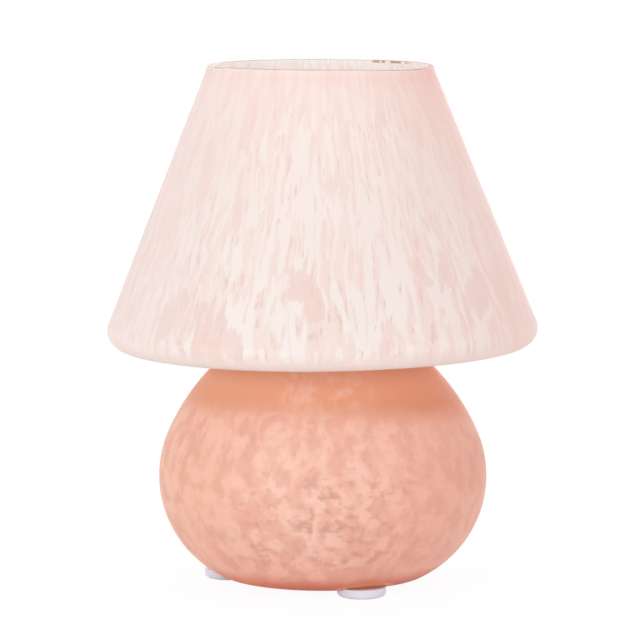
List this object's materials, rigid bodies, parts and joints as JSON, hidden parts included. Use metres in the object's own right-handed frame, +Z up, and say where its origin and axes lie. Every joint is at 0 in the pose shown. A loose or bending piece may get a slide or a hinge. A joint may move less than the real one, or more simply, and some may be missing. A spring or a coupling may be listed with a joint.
{
  "type": "glass table lamp",
  "caption": "Small mushroom-shaped table lamp: a round blown base on stick-on feet and a conical open-topped blown shade, both satin glass, with a lift-out globe bulb.",
  "frame": {"origin": "on the surface that the lamp stands on, under the middle of the shade", "axes": "+Z up along the lamp's own axis, -Y the front, +X to the right seen from the front"},
  "size_m": [0.18, 0.18, 0.2163],
  "materials": {
    "shade_glass": "satin-etched blown glass with fine cream and pink streaks",
    "base_glass": "satin-etched blown glass, peach with soft mottling",
    "foot_silicone": "milky soft bumper",
    "grommet_rubber": "matt",
    "washer_silicone": "translucent, matt",
    "turned_metal": "nickel plated, fine turned lines",
    "zinc_steel": "zinc plated",
    "holder_plastic": "white moulded, fine grain",
    "contact_plastic": "white glazed insulating block",
    "contact_metal": "nickel plated pressed sheet",
    "spring_brass": "bare brass strip",
    "bulb_metal": "nickel plated pressed sheet",
    "bulb_insulation": "black glassy insulation",
    "bulb_plastic": "white moulded",
    "bulb_opal": "opal diffuser, satin",
    "board_white": "white solder mask",
    "board_green": "green solder mask"
  },
  "bodies": {
    "lamp": {"glass_shade": "shade_glass", "glass_base": "base_glass", "foot_front": "foot_silicone", "foot_rear": "foot_silicone", "foot_left": "foot_silicone", "cord_grommet": "grommet_rubber", "neck_gasket": "washer_silicone", "neck_cap": "turned_metal", "shade_washer_lower": "washer_silicone", "shade_washer_upper": "washer_silicone", "shade_clamp_disc": "turned_metal", "shade_clamp_nut": "zinc_steel", "threaded_nipple": "zinc_steel", "spreader_bar": "zinc_steel", "spreader_pads": "washer_silicone", "spreader_washer": "zinc_steel", "spreader_nut": "zinc_steel", "holder_cap": "holder_plastic", "holder_grub_screw": "zinc_steel", "holder_sleeve": "holder_plastic", "contact_block": "contact_plastic", "screw_shell": "contact_metal", "centre_contact": "spring_brass", "side_contact": "spring_brass", "terminal_clamps": "spring_brass", "terminal_screws": "zinc_steel"},
    "bulb": {"bulb_tip_contact": "bulb_metal", "bulb_insulator": "bulb_insulation", "bulb_screw_cap": "bulb_metal", "bulb_collar": "bulb_plastic", "bulb_globe": "bulb_opal", "bulb_led_board": "board_white", "bulb_driver_board": "board_green"}
  },
  "joints": [
    {"name": "bulb_lift", "type": "slide", "parent": "lamp", "child": "bulb", "axis": [0, 0, 1], "range_m": [0, 0.1]}
  ]
}
